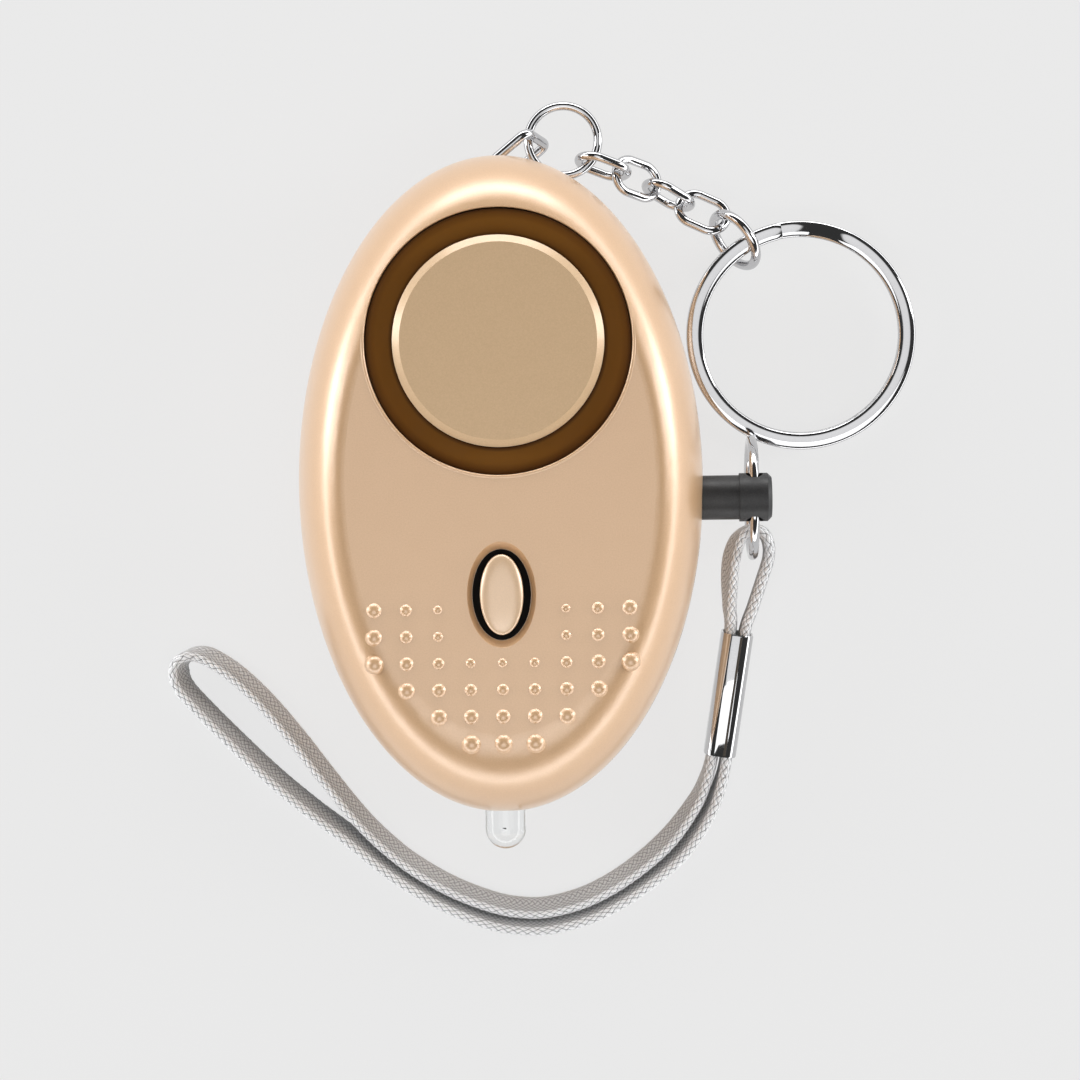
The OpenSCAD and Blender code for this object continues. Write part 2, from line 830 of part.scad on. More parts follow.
module case_screws() {
    color(chrome)
        for (p = case_screw_at)
            translate([p.x, p.y, screw_head_z - case_head])
                screw(case_head_r, case_head, case_shank, seam - screw_head_z + case_bite);
}

module board_screws() {
    color(chrome)
        for (p = board_screw_at)
            translate([p.x, p.y, board_top + board_head])
                mirror([0, 0, 1])
                    screw(board_head_r, board_head, board_shank, board_t + board_bite);
}

module pin_socket() {
    color(black)
        difference() {
            union() {
                translate([socket_in, -pin_y - socket_half, seam - socket_half - 0.2])
                    cube([socket_out - socket_in, 2 * socket_half, 2 * socket_half + 0.4]);
                translate([socket_in - socket_step, -pin_y - socket_half, seam - socket_half - 0.2])
                    cube([socket_step + 0.6, 2 * socket_half, socket_half - leaf_w / 2 - 0.2]);
                translate([leaf_x, leaf_y, seam - leaf_w / 2 - 0.8])
                    cylinder(r = leaf_post, h = leaf_w + 1, $fn = 24);
            }
            x_rod(socket_in - 2, socket_out + 1, -pin_y, seam, shaft_d / 2 + pin_play);
        }
}

module contact_leaf() {
    color(brass)
        translate([leaf_x, leaf_y, seam - leaf_w / 2])
            difference() {
                union() {
                    cylinder(r = leaf_eye, h = leaf_w);
                    translate([blade_tip - 0.2 - leaf_x, leaf_eye - leaf_t, 0])
                        cube([leaf_x - blade_tip + 0.2, leaf_t, leaf_w]);
                }
                translate([0, 0, -1])
                    cylinder(r = leaf_post + 0.04, h = leaf_w + 2, $fn = 24);
            }
}

module contact_fixed() {
    color(brass)
        translate([0, -pin_y + blade_t / 2 + contact_gap, seam - leaf_w / 2])
            union() {
                translate([blade_tip - 0.2, 0, 0])
                    cube([socket_in - blade_tip + 0.2, leaf_t, leaf_w]);
                translate([socket_in - leaf_t, 0, 0])
                    cube([leaf_t, 2.2, leaf_w]);
            }
}

module pin_cap() {
    color(black)
        difference() {
            union() {
                x_rod(edge_x - cap_in, cap_end - 0.4, -pin_y, seam, cap_d / 2);
                x_rod(cap_end - 3.2, cap_end - 0.4, -pin_y, seam, cap_band_d / 2);
                translate([cap_end - 0.4, -pin_y, seam])
                    rotate([0, 90, 0])
                        cylinder(r1 = cap_band_d / 2, r2 = cap_band_d / 2 - 0.4, h = 0.4);
            }
            // the wire ring passes through here
            y_rod(-pin_y - 4, -pin_y + 4, pin_ring_x,
                pin_ring_top + pin_ring_wire / 2 + 0.1 - eye_hole_d / 2, eye_hole_d / 2);
            x_rod(edge_x - cap_in - 1, edge_x + 2, -pin_y, seam, shaft_d / 2);
        }
}

module pin_shaft() {
    color(chrome)
        union() {
            x_rod(blade_root, edge_x + 2, -pin_y, seam, shaft_d / 2);
            translate([blade_tip, -pin_y - blade_t / 2, seam - 0.7])
                cube([blade_l + 0.2, blade_t, 1.4]);
        }
}

module wire_ring(r, wire) {
    rotate_extrude($fn = 72)
        translate([r, 0])
            circle(d = wire, $fn = 24);
}

module pin_ring() {
    color(chrome)
        translate([pin_ring_x, -pin_y, pin_ring_z])
            rotate([0, 90, 0])
                wire_ring(pin_ring_r, pin_ring_wire);
}

module strap_cord() {
    p = [for (q = route) [q.x, q.y, q.z] + strap_move];
    color(braid)
        tube([for (i = [0 : len(p) - 1]) strap_ring(i, p)]);
}

module round_bar(w, h, r) {
    square([w - 2 * r, h], center = true);
    square([w, h - 2 * r], center = true);
    for (x = [-1, 1])
        for (y = [-1, 1])
            translate([x * (w / 2 - r), y * (h / 2 - r)])
                circle(r, $fn = 32);
}

module strap_ferrule() {
    v = ferrule_high - ferrule_low;
    in_w = 2 * strap_t + 0.24;
    in_h = strap_w + 0.3;
    color(chrome)
        translate(ferrule_low + strap_move)
            rotate([0, -asin(v.z / norm(v)), atan2(v.y, v.x)])
                rotate([90, 0, 90])
                    linear_extrude(norm(v))
                        difference() {
                            round_bar(in_w + 2 * ferrule_wall, in_h + 2 * ferrule_wall, 0.9);
                            round_bar(in_w, in_h, 0.45);
                        }
}

module head_bail() {
    color(chrome)
        union() {
            rod(bail_l - bail_run * bail_leg, bail_l, bail_wire / 2);
            rod(bail_l, bail_r, bail_wire / 2);
            rod(bail_r - bail_run * bail_leg, bail_r, bail_wire / 2);
            for (corner = [bail_l, bail_r])
                translate(corner)
                    sphere(bail_wire / 2 + 0.03, $fn = 24);
        }
}

module lay(at, lie) {
    translate(at)
        rotate([0, -lie.y, lie.x])
            rotate([lie.z, 0, 0])
                children();
}

module chain_link() {
    r = (link_w - link_wire) / 2;
    half = (link_l - link_w) / 2;
    color(chrome)
        union() {
            for (side = [-1, 1]) {
                translate([side * half, 0, 0])
                    rotate([0, 0, -90 * side])
                        rotate_extrude(angle = 180, $fn = 48)
                            translate([r, 0])
                                circle(d = link_wire, $fn = 24);
                x_rod(-half, half, side * r, 0, link_wire / 2);
            }
        }
}

module upper_ring() {
    color(chrome)
        lay(upper_at, lie_upper)
            wire_ring(upper_r, link_wire);
}

module link_1() { lay(link_1_at, lie_1) chain_link(); }
module link_2() { lay(link_2_at, lie_2) chain_link(); }
module link_3() { lay(link_3_at, lie_3) chain_link(); }
module link_4() { lay(link_4_at, lie_4) chain_link(); }

module lower_ring() {
    color(chrome)
        lay(lower_at, lie_lower)
            wire_ring(lower_r, lower_ring_wire);
}

// the split ring runs a little under two turns and steps down between them
split_step = 15;
split_ramp = [325, 360];
split_turns = [for (a = [5 : split_step : 680]) a];
function split_level(a) =
    let (u = max(0, min(1, (a - split_ramp[0]) / (split_ramp[1] - split_ramp[0]))))
    (split_t + split_gap) * (0.5 - u * u * (3 - 2 * u));
function split_section(a) = oval_ring(
    [split_r * cos(a), split_r * sin(a), split_level(a)],
    [0, 0, 1], [cos(a), sin(a), 0], split_t / 2, split_w / 2, 8
);

module split_ring() {
    rings = [for (a = split_turns) split_section(a)];
    n = len(rings);
    apart = [
        for (i = [0 : n - 1]) for (j = [i + 20 : 1 : n - 1])
            for (p = rings[i]) for (q = rings[j]) norm(p - q)
    ];
    echo(split_ring_least_gap = min(apart));
    color(chrome)
        lay(split_at, lie_split)
            rotate([0, 0, 150])
                tube(rings);
}

module wire_run(points, r) {
    for (i = [0 : len(points) - 2])
        rod(points[i], points[i + 1], r);
    for (i = [1 : 1 : len(points) - 2])
        translate(points[i])
            rotate([50, 0, 40])
                sphere(r + 0.04, $fn = 24);
}

module sounder_leads() {
    low = flange_z - lead_wire - 0.02;
    beside = cell_d / 2;
    color("#b02020")
        for (side = [-1, 1])
            wire_run([
                [side * 1.4, siren_y, plate_z - ceramic_t],
                [side * 1.4, siren_y, low],
                [side * beside, bay_hi + 1, low],
                [side * beside, board_hi + 4, low],
                [side * beside, board_hi - 1, board_top + lead_wire + 0.06],
                [side * beside, board_hi - 1, board_top]
            ], lead_wire);
}

module battery_lead() {
    color("#202020")
        wire_run([
            [-1, bay_hi - lead_wire - 0.05, seam - 0.4],
            [-1, bay_hi - lead_wire - 0.05, seam + 0.5],
            [-bay_x - 2.4, bay_hi - lead_wire - 0.05, seam + 0.5],
            [-bay_x - 2.4, board_hi - 3, board_z + 0.5],
            [-board_half, board_hi - 3, board_z + 0.5]
        ], lead_wire);
}

front_shell();
rear_shell();
siren_bezel();
siren_disc();
sounder_plate();
sounder_ceramic();
sounder_gasket();
siren_back();
torch_button();
push_switch();
switch_stem();
circuit_board();
coil_core();
coil_winding();
driver_chip();
transistor();
capacitor();
chip_resistors();
tail_lamp();
lamp_leads();
cell_1();
cell_2();
cell_3();
contact_plus();
contact_minus();
battery_cover();
cover_screw();
case_screws();
board_screws();
pin_socket();
contact_leaf();
contact_fixed();
pin_cap();
pin_shaft();
pin_ring();
strap_cord();
strap_ferrule();
head_bail();
upper_ring();
link_1();
link_2();
link_3();
link_4();
lower_ring();
split_ring();
sounder_leads();
battery_lead();
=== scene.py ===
"""Dressed scene of a personal safety alarm on a key chain, seen from above.

Lengths below are in millimetres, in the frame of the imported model, and become metres through MM.
"""

import json
import math

import bpy
from mathutils import Matrix, Vector


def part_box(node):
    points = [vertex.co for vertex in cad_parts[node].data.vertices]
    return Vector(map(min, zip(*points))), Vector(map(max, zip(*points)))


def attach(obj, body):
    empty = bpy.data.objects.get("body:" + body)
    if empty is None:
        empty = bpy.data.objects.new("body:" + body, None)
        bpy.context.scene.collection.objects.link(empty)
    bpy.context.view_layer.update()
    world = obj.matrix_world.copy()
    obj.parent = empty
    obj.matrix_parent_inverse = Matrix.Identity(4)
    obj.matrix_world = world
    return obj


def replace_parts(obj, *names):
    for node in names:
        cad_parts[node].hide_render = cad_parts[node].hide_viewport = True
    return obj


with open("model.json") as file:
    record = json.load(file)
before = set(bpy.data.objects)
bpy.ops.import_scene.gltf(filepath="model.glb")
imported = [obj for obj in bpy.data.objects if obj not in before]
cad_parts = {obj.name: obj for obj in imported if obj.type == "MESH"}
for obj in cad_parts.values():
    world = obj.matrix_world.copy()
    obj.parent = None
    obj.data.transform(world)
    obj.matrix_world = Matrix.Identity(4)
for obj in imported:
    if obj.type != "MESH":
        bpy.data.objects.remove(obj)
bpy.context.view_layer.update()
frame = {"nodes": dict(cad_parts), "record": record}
MM = 0.001
NODES = frame["nodes"]


def metres(p):
    return Vector(p) * MM


# Camera: straight above, at the distance that gives the photograph's slight perspective
CAMERA_AT = (3.79, -5.66, 432)
CAMERA_ROLL = -0.8
VIEW_ACROSS = 107.1
VIEW_PLANE = 12
SENSOR = 36


def make_camera():
    data = bpy.data.cameras.new("camera")
    data.sensor_width = SENSOR
    data.lens = SENSOR * (CAMERA_AT[2] - VIEW_PLANE) / VIEW_ACROSS
    data.clip_start = 0.01
    data.clip_end = 20
    cam = bpy.data.objects.new("camera", data)
    cam.location = metres(CAMERA_AT)
    cam.rotation_euler = (0, 0, math.radians(CAMERA_ROLL))
    bpy.context.scene.collection.objects.link(cam)
    bpy.context.scene.camera = cam


make_camera()


# Materials
NOISE_RANGE = (0.3, 0.7)
PATCH_TO_GRAIN = 12
COAT_ROUGHNESS, COAT_IOR = 0.28, 1.8


def new_material(name):
    m = bpy.data.materials.new(name)
    m.use_nodes = True
    return m, m.node_tree.nodes, m.node_tree.links, m.node_tree.nodes["Principled BSDF"]


def noise(nodes, links, scale, detail=3.0, stretch=None):
    """Noise in the object's own coordinates; scale is in features per millimetre."""
    coord = nodes.new("ShaderNodeTexCoord")
    out = coord.outputs["Object"]
    if stretch:
        mapping = nodes.new("ShaderNodeMapping")
        mapping.inputs["Scale"].default_value = stretch
        links.new(out, mapping.inputs["Vector"])
        out = mapping.outputs["Vector"]
    tex = nodes.new("ShaderNodeTexNoise")
    tex.inputs["Scale"].default_value = scale / MM
    tex.inputs["Detail"].default_value = detail
    links.new(out, tex.inputs["Vector"])
    return tex.outputs["Fac"]


def ramp(nodes, links, fac, low, high, at=NOISE_RANGE):
    """Two colours blended by fac, from one place on the ramp to the other."""
    node = nodes.new("ShaderNodeValToRGB")
    for stop, place, colour in zip(node.color_ramp.elements, at, (low, high)):
        stop.position = place
        stop.color = (*colour, 1)
    links.new(fac, node.inputs["Fac"])
    return node.outputs["Color"]


def spread(nodes, links, fac, low, high):
    """The usual range of a noise, spread from low to high."""
    node = nodes.new("ShaderNodeMapRange")
    node.inputs["From Min"].default_value = NOISE_RANGE[0]
    node.inputs["From Max"].default_value = NOISE_RANGE[1]
    node.inputs["To Min"].default_value = low
    node.inputs["To Max"].default_value = high
    links.new(fac, node.inputs["Value"])
    return node.outputs["Result"]


def bump(nodes, links, height, depth, strength=1.0):
    """Fine relief of a surface; depth is in millimetres."""
    node = nodes.new("ShaderNodeBump")
    node.inputs["Strength"].default_value = strength
    node.inputs["Distance"].default_value = depth * MM
    links.new(height, node.inputs["Height"])
    return node.outputs["Normal"]


def tinted(name, low, high, rough, metallic=0.0, grain=8.0, depth=0.004, coat=0.0, stretch=None):
    """A surface whose colour, roughness and fine relief vary with one noise."""
    m, nodes, links, bsdf = new_material(name)
    fine = noise(nodes, links, grain, stretch=stretch)
    links.new(ramp(nodes, links, fine, low, high), bsdf.inputs["Base Color"])
    patches = noise(nodes, links, grain / PATCH_TO_GRAIN)
    links.new(spread(nodes, links, patches, *rough), bsdf.inputs["Roughness"])
    links.new(bump(nodes, links, fine, depth), bsdf.inputs["Normal"])
    bsdf.inputs["Metallic"].default_value = metallic
    bsdf.inputs["Coat Weight"].default_value = coat
    bsdf.inputs["Specular IOR Level"].default_value = 0.5 + coat / 2
    bsdf.inputs["Coat Roughness"].default_value = COAT_ROUGHNESS
    bsdf.inputs["Coat IOR"].default_value = COAT_IOR
    return m


def clear_lens(name):
    m, nodes, links, bsdf = new_material(name)
    bsdf.inputs["Base Color"].default_value = (0.97, 0.985, 0.99, 1)
    bsdf.inputs["Transmission Weight"].default_value = 1.0
    bsdf.inputs["IOR"].default_value = 1.45
    links.new(spread(nodes, links, noise(nodes, links, 0.8), 0.0, 0.05), bsdf.inputs["Roughness"])
    return m


gold = tinted("gold", (0.65, 0.395, 0.2), (0.71, 0.44, 0.23), (0.36, 0.42), 0.2, 7.0, 0.003, 1.0)
gold_disc = tinted(
    "gold_disc", (0.54, 0.335, 0.145), (0.6, 0.38, 0.175), (0.38, 0.44), 0.2, 7.0, 0.003, 0.8)
gold_button = tinted(
    "gold_button", (0.76, 0.52, 0.32), (0.82, 0.565, 0.35), (0.36, 0.42), 0.2, 7.0, 0.003, 1.0)
bronze = tinted("bronze", (0.105, 0.042, 0.006), (0.135, 0.058, 0.011), (0.42, 0.52), 0.35, 6.0, 0.003)
black = tinted("black", (0.014, 0.014, 0.015), (0.032, 0.032, 0.033), (0.4, 0.52), 0.0, 9.0, 0.006)
chrome = tinted("chrome", (0.56, 0.56, 0.57), (0.6, 0.6, 0.61), (0.04, 0.09), 1.0, 9.0, 0.0001)
steel = tinted("steel", (0.5, 0.5, 0.51), (0.66, 0.66, 0.67), (0.22, 0.34), 1.0, 5.0, 0.002)
brass = tinted("brass", (0.5, 0.31, 0.06), (0.66, 0.43, 0.1), (0.2, 0.32), 1.0, 5.0, 0.002)
grey = tinted("grey", (0.045, 0.045, 0.047), (0.075, 0.075, 0.078), (0.42, 0.55), 0.0, 8.0, 0.005)
white = tinted("white", (0.66, 0.65, 0.6), (0.78, 0.77, 0.72), (0.4, 0.5), 0.0, 8.0, 0.003)
board = tinted("board", (0.018, 0.11, 0.035), (0.035, 0.17, 0.06), (0.25, 0.35), 0.0, 2.0, 0.004, 0.4)
ferrite = tinted("ferrite", (0.022, 0.022, 0.024), (0.042, 0.042, 0.045), (0.5, 0.65), 0.0, 10.0, 0.006)
copper = tinted(
    "copper", (0.34, 0.09, 0.02), (0.5, 0.16, 0.04), (0.2, 0.3), 0.9, 4.0, 0.02,
    stretch=(0.1, 0.1, 3))
sleeve = tinted("sleeve", (0.015, 0.04, 0.13), (0.025, 0.06, 0.18), (0.25, 0.35), 0.0, 6.0, 0.003, 0.3)
red = tinted("red", (0.36, 0.012, 0.01), (0.46, 0.02, 0.015), (0.3, 0.4), 0.0, 6.0, 0.003)
clear = clear_lens("clear")
# Near-black matt material of the ring in the button's gap: painted shade for the dark depth of the gap
gap_shade_black = tinted("gap_shade_black", (0.003, 0.003, 0.003), (0.007, 0.006, 0.005), (0.75, 0.85), 0.0, 9.0, 0.004)
gap_shade_black.node_tree.nodes["Principled BSDF"].inputs["Specular IOR Level"].default_value = 0.1
seam_shadow = tinted(
    "seam_shadow", (0.03, 0.022, 0.015), (0.06, 0.045, 0.03), (0.5, 0.6), 0.0, 6.0, 0.002)

FINISH = {
    "gold": gold, "dark_channel": bronze, "black": black, "grey_plastic": grey, "white_plastic": white,
    "board": board, "ferrite": ferrite, "copper": copper, "blue_sleeve": sleeve, "red_wire": red,
    "brass": brass, "steel": steel, "chrome": chrome, "clear": clear,
}

# Channel of the siren: its radii, and its painted shade by the place between them, darker at the disc and
# at the shell
SIREN_Y, CHANNEL = 13.7, (10.3, 13.1)
CHANNEL_PAINTED_SHADE = [(0.0, 0.2), (0.16, 0.95), (0.6, 1.0), (0.82, 0.75), (1.0, 0.1)]
CHANNEL_BROWN, CHANNEL_FALL = (0.23, 0.092, 0.009), (1, 1.2, 1.5)


def channel_with_painted_shade():
    """Brown, with painted shade toward the disc and toward the shell, by distance from the siren's axis."""
    m, nodes, links, bsdf = new_material("channel")
    coord = nodes.new("ShaderNodeTexCoord")
    centred = nodes.new("ShaderNodeMapping")
    centred.inputs["Location"].default_value = (0, -SIREN_Y * MM, 0)
    centred.inputs["Scale"].default_value = (1, 1, 0)
    links.new(coord.outputs["Object"], centred.inputs["Vector"])
    far = nodes.new("ShaderNodeVectorMath")
    far.operation = "LENGTH"
    links.new(centred.outputs["Vector"], far.inputs[0])
    place = nodes.new("ShaderNodeMapRange")
    place.inputs["From Min"].default_value = CHANNEL[0] * MM
    place.inputs["From Max"].default_value = CHANNEL[1] * MM
    links.new(far.outputs["Value"], place.inputs["Value"])
    node = nodes.new("ShaderNodeValToRGB")
    stops = node.color_ramp.elements
    while len(stops) < len(CHANNEL_PAINTED_SHADE):
        stops.new(0.5)
    for stop, (at, share) in zip(stops, CHANNEL_PAINTED_SHADE):
        stop.position = at
        stop.color = (*(c * share ** fall for c, fall in zip(CHANNEL_BROWN, CHANNEL_FALL)), 1)
    links.new(place.outputs["Result"], node.inputs["Fac"])
    links.new(node.outputs["Color"], bsdf.inputs["Base Color"])
    links.new(spread(nodes, links, noise(nodes, links, 0.5), 0.5, 0.6), bsdf.inputs["Roughness"])
    links.new(bump(nodes, links, noise(nodes, links, 6.0), 0.003), bsdf.inputs["Normal"])
    bsdf.inputs["Specular IOR Level"].default_value = 0.15
    return m


OWN_FINISH = {"siren_disc": gold_disc, "siren_bezel": channel_with_painted_shade()}


def dress_nodes():
    """Give each solid its own finish, or that of its material slot."""
    for part in frame["record"]["subparts"]:
        finish = OWN_FINISH.get(part["node"], FINISH.get(part["material_slot"]))
        if finish:
            mesh = NODES[part["node"]].data
            mesh.materials.clear()
            mesh.materials.append(finish)


# Wrist strap: the route of the solid, as x, y, z and lean of the braid
STRAP_W, STRAP_T = 3.2, 1.3
ROUTE = [
    (22, -21, 3.1, 0), (22.9, -15.2, 3.8, 0), (22.8, -12.6, 4.8, 8), (22.8, -10, 5.8, 18),
    (23, -7.8, 6.6, 20), (23.5, -6.2, 6.9, 16), (24.2, -5.3, 7, 8), (25.2, -4.9, 7, 0),
    (26.2, -5.3, 7, 0), (26.7, -6.3, 6.9, 0), (26.7, -7.8, 6.6, 0), (26.1, -9.8, 5.9, 0),
    (25.2, -12.6, 4.8, 0), (24.3, -15.4, 3.8, 0),
    (23.3, -21.5, 3, 0), (22.4, -27.7, 2.2, 0),
    (21.7, -30.6, 2, 10), (20.4, -33.6, 1.9, 20), (17.6, -37.4, 1.9, 30), (13.2, -41, 1.9, 30),
    (8.8, -43.4, 1.9, 30), (4.4, -44.6, 1.9, 30), (1, -44.6, 1.9, 30), (-2, -44, 1.9, 30),
    (-6, -42.4, 1.9, 30), (-10, -40.1, 1.9, 30), (-13, -37.9, 1.9, 30), (-16, -35.4, 1.9, 30),
    (-19.8, -32.5, 1.9, 30), (-23.9, -29, 1.9, 30), (-28.2, -24.8, 1.9, 30),
    (-31, -21.9, 1.9, 30), (-32.4, -20.3, 1.9, 30), (-33, -19, 1.9, 30), (-32.9, -17.7, 1.9, 30),
    (-32, -16.9, 1.9, 30), (-30.8, -16.8, 1.9, 30), (-29.5, -17.3, 1.9, 30),
    (-27.2, -18.9, 1.9, 30), (-24.4, -21.6, 1.9, 30), (-21.2, -25.4, 1.9, 30),
    (-18, -29.6, 1.9, 30), (-14.8, -33.6, 1.9, 30), (-12, -36.4, 1.9, 30),
    (-9.2, -38.6, 1.9, 30), (-5.4, -40.8, 1.9, 30), (-1.6, -42.3, 1.9, 30),
    (1.2, -42.9, 1.9, 30), (4.2, -42.9, 1.9, 30), (8.2, -41.8, 1.9, 30),
    (12.2, -39.6, 1.9, 30), (16.2, -36.3, 1.9, 30), (19, -32.7, 1.9, 20),
    (20.2, -30.3, 2, 10), (21, -27.5, 2.2, 0), (22, -21.8, 2.9, 0),
]
RING_STEP = 0.15
RING_SIDES = 48
EDGE_PITCH, EDGE_LANES = 0.95, 2.5
FACE_PITCH, FACE_LANES = 0.62, 5
BRAID_RELIEF, FACE_LIFT = 0.14, -0.03
STRAND_ROUND, STRAND_END, STRAND_RISE = 0.8, 0.55, 0.45
CORNER_POWER = 0.7
SHARP_ANGLE = 50


def lay(at, lie):
    """Place and turn of a flat piece: heading, slope and roll in degrees."""
    heading, slope, roll = (math.radians(v) for v in lie)
    return (Matrix.Translation(at) @ Matrix.Rotation(heading, 4, "Z") @ Matrix.Rotation(-slope, 4, "Y")
            @ Matrix.Rotation(roll, 4, "X"))


def add_mesh(name, verts, faces, body, material):
    """A smooth piece that rides on a body and takes a material slot."""
    mesh = bpy.data.meshes.new(name)
    mesh.from_pydata([metres(v) for v in verts], [], faces)
    mesh.materials.append(material)
    for face in mesh.polygons:
        face.use_smooth = True
    mesh.set_sharp_from_angle(angle=math.radians(SHARP_ANGLE))
    obj = bpy.data.objects.new(name, mesh)
    bpy.context.scene.collection.objects.link(obj)
    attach(obj, body)
    return obj


def tube_faces(rings, sides, closed=False):
    """Quads between rings of points, and a cap at each end of an open tube."""
    quads = [(i * sides + k, i * sides + (k + 1) % sides,
              (i + 1) % rings * sides + (k + 1) % sides, (i + 1) % rings * sides + k)
             for i in range(rings if closed else rings - 1) for k in range(sides)]
    if closed:
        return quads
    return quads + [tuple(range(sides - 1, -1, -1)), tuple((rings - 1) * sides + k for k in range(sides))]


def smooth_route():
    """Points of a smooth curve through the route, a ring step apart, with their lean."""
    q = [Vector(p) for p in ROUTE]
    q = [2 * q[0] - q[1]] + q + [2 * q[-1] - q[-2]]
    dense = []
    for a, b, c, d in zip(q, q[1:], q[2:], q[3:]):
        steps = max(2, round((c - b).to_3d().length / RING_STEP))
        for i in range(steps):
            t = i / steps
            dense.append(
                0.5 * (2 * b + (c - a) * t + (2 * a - 5 * b + 4 * c - d) * t * t
                       + (3 * b - a - 3 * c + d) * t * t * t))
    dense.append(q[-2])
    return dense


def soft_corner(a):
    """A sine or cosine pushed outward, so that a round section turns into a soft bar."""
    return math.copysign(abs(a) ** CORNER_POWER, a)


def braid_height(along, lane):
    """Height of the plaited strands, 0 to 1, at a place along the braid and round it."""
    a, b = along + lane, along - lane
    over = (math.floor(a) + math.floor(b)) % 2
    across, run = (a, b) if over else (b, a)
    rise = STRAND_END + STRAND_RISE * math.sin(math.pi * (run % 1))
    return math.sin(math.pi * (across % 1)) ** STRAND_ROUND * rise


def braid_place(k):
    """Whether a side lies on a narrow edge of the braid, and its lane there."""
    quarter, step = divmod((k + RING_SIDES // 8) % RING_SIDES, RING_SIDES // 4)
    edge = quarter % 2 == 1
    return edge, (EDGE_LANES if edge else FACE_LANES) * step / (RING_SIDES // 4)


def make_strap():
    """The braid along its route, with the weave's own coordinates, and the ferrule on it."""
    line = smooth_route()
    points = [p.to_3d() for p in line]
    verts, run = [], []
    for i, p in enumerate(points):
        run.append(run[-1] + (p - points[i - 1]).length if i else 0)
        t = (points[min(i + 1, len(points) - 1)] - points[max(i - 1, 0)]).normalized()
        flat = Vector((p.x, p.y, 0)).normalized()
        up = Vector((0, 0, 1)) + math.tan(math.radians(line[i][3])) * flat
        wide = (up - up.dot(t) * t).normalized()
        thin = wide.cross(t)
        for k in range(RING_SIDES):
            a = 2 * math.pi * (k + 0.5) / RING_SIDES
            edge, lane = braid_place(k)
            lift = BRAID_RELIEF * (braid_height(run[i] / EDGE_PITCH, lane) - 1) if edge else FACE_LIFT
            verts.append(p + thin * (STRAP_T / 2 + lift) * soft_corner(math.cos(a))
                         + wide * (STRAP_W / 2 + lift) * soft_corner(math.sin(a)))
    faces = tube_faces(len(points), RING_SIDES)
    obj = add_mesh("strap_braid", verts, faces, "strap", braid_material())
    weave = obj.data.uv_layers.new(name="weave")
    zone = obj.data.uv_layers.new(name="zone")
    for face in obj.data.polygons:
        if face.loop_total != 4:
            continue
        k = face.index % RING_SIDES
        edge, lane = braid_place(k)
        step = (EDGE_LANES if edge else FACE_LANES) / (RING_SIDES // 4)
        for loop in face.loop_indices:
            i, corner = divmod(obj.data.loops[loop].vertex_index, RING_SIDES)
            weave.data[loop].uv = (run[i] / (EDGE_PITCH if edge else FACE_PITCH),
                                   lane if corner == k else lane + step)
            zone.data[loop].uv = (1 if edge else 0, 0)
    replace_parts(obj, "strap_cord")
    make_ferrule()


def math_node(nodes, links, operation, a, b=None):
    """One sum of the shader, of numbers or sockets."""
    node = nodes.new("ShaderNodeMath")
    node.operation = operation
    for value, socket in zip((a, b), node.inputs):
        if isinstance(value, (int, float)):
            socket.default_value = value
        elif value is not None:
            links.new(value, socket)
    return node.outputs[0]


def braid_material():
    """Pale strands that cross over and under: bright grains on the edges, a weave between greyed by painted
    shade.
    """
    m, nodes, links, bsdf = new_material("braid")

    def do(operation, a, b=None):
        return math_node(nodes, links, operation, a, b)

    def across(name):
        uv = nodes.new("ShaderNodeUVMap")
        uv.uv_map = name
        split = nodes.new("ShaderNodeSeparateXYZ")
        links.new(uv.outputs["UV"], split.inputs[0])
        return split.outputs

    u, v = across("weave")["X"], across("weave")["Y"]
    a, b = do("ADD", u, v), do("SUBTRACT", u, v)
    over = do("FLOORED_MODULO", do("ADD", do("FLOOR", a), do("FLOOR", b)), 2)
    ridge_a = do("SINE", do("MULTIPLY", do("FRACT", a), math.pi))
    ridge_b = do("SINE", do("MULTIPLY", do("FRACT", b), math.pi))
    height = do("ADD", do("MULTIPLY", ridge_a, over), do("MULTIPLY", ridge_b, do("SUBTRACT", 1, over)))
    fibre = noise(nodes, links, 14.0, 2.0)
    shade = do("ADD", height, do("MULTIPLY", do("SUBTRACT", fibre, 0.5), 0.5))
    mix = nodes.new("ShaderNodeMix")
    mix.data_type = "RGBA"
    links.new(across("zone")["X"], mix.inputs["Factor"])
    # Painted shade: the faces are kept far darker than the edges, and both darken in the hollows between
    # strands
    face = ramp(nodes, links, shade, (0.17, 0.17, 0.175), (0.6, 0.6, 0.605), (0.1, 0.85))
    edge = ramp(nodes, links, shade, (0.14, 0.14, 0.145), (0.93, 0.93, 0.94), (0.15, 0.48))
    links.new(face, mix.inputs["A"])
    links.new(edge, mix.inputs["B"])
    links.new(mix.outputs["Result"], bsdf.inputs["Base Color"])
    links.new(bump(nodes, links, shade, 0.06, 0.8), bsdf.inputs["Normal"])
    bsdf.inputs["Roughness"].default_value = 0.55
    bsdf.inputs["Sheen Weight"].default_value = 0.15
    return m


